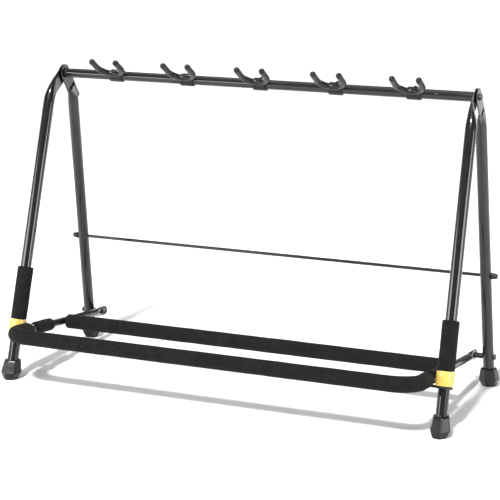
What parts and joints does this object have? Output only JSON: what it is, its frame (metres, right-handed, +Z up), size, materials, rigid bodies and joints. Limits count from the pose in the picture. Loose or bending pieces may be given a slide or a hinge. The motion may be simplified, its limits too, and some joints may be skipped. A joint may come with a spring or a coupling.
{
  "type": "guitar rack",
  "caption": "Folding floor rack for guitars: two A-shaped tube side frames, a top tube with rubber neck yokes and a foam-padded base frame that hinges up.",
  "frame": {"origin": "on the floor, under the middle of the rack's overall box", "axes": "+X runs along the top tube to the right as seen from the padded front, +Y points to the rear legs, +Z is up"},
  "size_m": [0.9335, 0.4425, 0.6309],
  "materials": {
    "black_paint": "gloss black enamel on round steel tube",
    "foam": "matt closed-cell foam with a fine grain",
    "yellow_plastic": "smooth warm yellow plastic, satin gloss",
    "foot_rubber": "satin moulded rubber",
    "yoke_rubber": "satin rubber coating",
    "bright_steel": "bright zinc or nickel plate",
    "black_steel": "black oxide steel, low gloss",
    "black_plastic": "black moulded nylon"
  },
  "bodies": {
    "front_frame": {"collar_left": "yellow_plastic", "collar_right": "yellow_plastic", "cradle_left": "black_plastic", "cradle_right": "black_plastic", "cradle_rivets": "bright_steel", "front_foot_left": "foot_rubber", "front_foot_right": "foot_rubber", "front_leg_left": "black_paint", "front_leg_right": "black_paint", "leg_sleeve_left": "foam", "leg_sleeve_right": "foam", "pivot_bolts": "black_steel", "pivot_washers": "black_plastic", "top_tube": "black_paint", "top_tube_plugs": "black_plastic"},
    "rear_legs": {"hinge_bolts": "black_steel", "hinge_nuts": "black_steel", "hinge_spacers": "black_plastic", "rear_foot_left": "foot_rubber", "rear_foot_right": "foot_rubber", "rear_leg_left": "black_paint", "rear_leg_right": "black_paint", "tie_rod": "black_steel", "tie_rod_caps": "black_steel"},
    "base_frame": {"base_tube": "black_paint", "crossbar": "black_paint", "front_foam_1": "foam", "front_foam_2": "foam", "front_foam_3": "foam", "front_foam_4": "foam", "rear_foam_1": "foam", "rear_foam_2": "foam", "rear_foam_3": "foam", "strut_foam_left": "foam", "strut_foam_right": "foam"},
    "neck_yoke_1": {"yoke_1": "yoke_rubber", "yoke_screw_1": "bright_steel"},
    "neck_yoke_2": {"yoke_2": "yoke_rubber", "yoke_screw_2": "bright_steel"},
    "neck_yoke_3": {"yoke_3": "yoke_rubber", "yoke_screw_3": "bright_steel"},
    "neck_yoke_4": {"yoke_4": "yoke_rubber", "yoke_screw_4": "bright_steel"},
    "neck_yoke_5": {"yoke_5": "yoke_rubber", "yoke_screw_5": "bright_steel"}
  },
  "joints": [
    {"name": "rear_fold", "type": "hinge", "parent": "front_frame", "child": "rear_legs", "pos_m": [0, 0.0813, 0.592], "axis": [-1, 0, 0], "range_deg": [0, 26]},
    {"name": "base_fold", "type": "hinge", "parent": "rear_legs", "child": "base_frame", "pos_m": [0, 0.19302, 0.0623], "axis": [-1, 0, 0], "range_deg": [0, 68]},
    {"name": "yoke_slide_1", "type": "slide", "parent": "front_frame", "child": "neck_yoke_1", "axis": [1, 0, 0], "range_m": [-0.04, 0.04]},
    {"name": "yoke_slide_2", "type": "slide", "parent": "front_frame", "child": "neck_yoke_2", "axis": [1, 0, 0], "range_m": [-0.04, 0.04]},
    {"name": "yoke_slide_3", "type": "slide", "parent": "front_frame", "child": "neck_yoke_3", "axis": [1, 0, 0], "range_m": [-0.04, 0.04]},
    {"name": "yoke_slide_4", "type": "slide", "parent": "front_frame", "child": "neck_yoke_4", "axis": [1, 0, 0], "range_m": [-0.04, 0.04]},
    {"name": "yoke_slide_5", "type": "slide", "parent": "front_frame", "child": "neck_yoke_5", "axis": [1, 0, 0], "range_m": [-0.04, 0.04]}
  ],
  "couplings": [
    {"joint": "base_fold", "follows": "rear_fold", "ratio": 2.6}
  ]
}
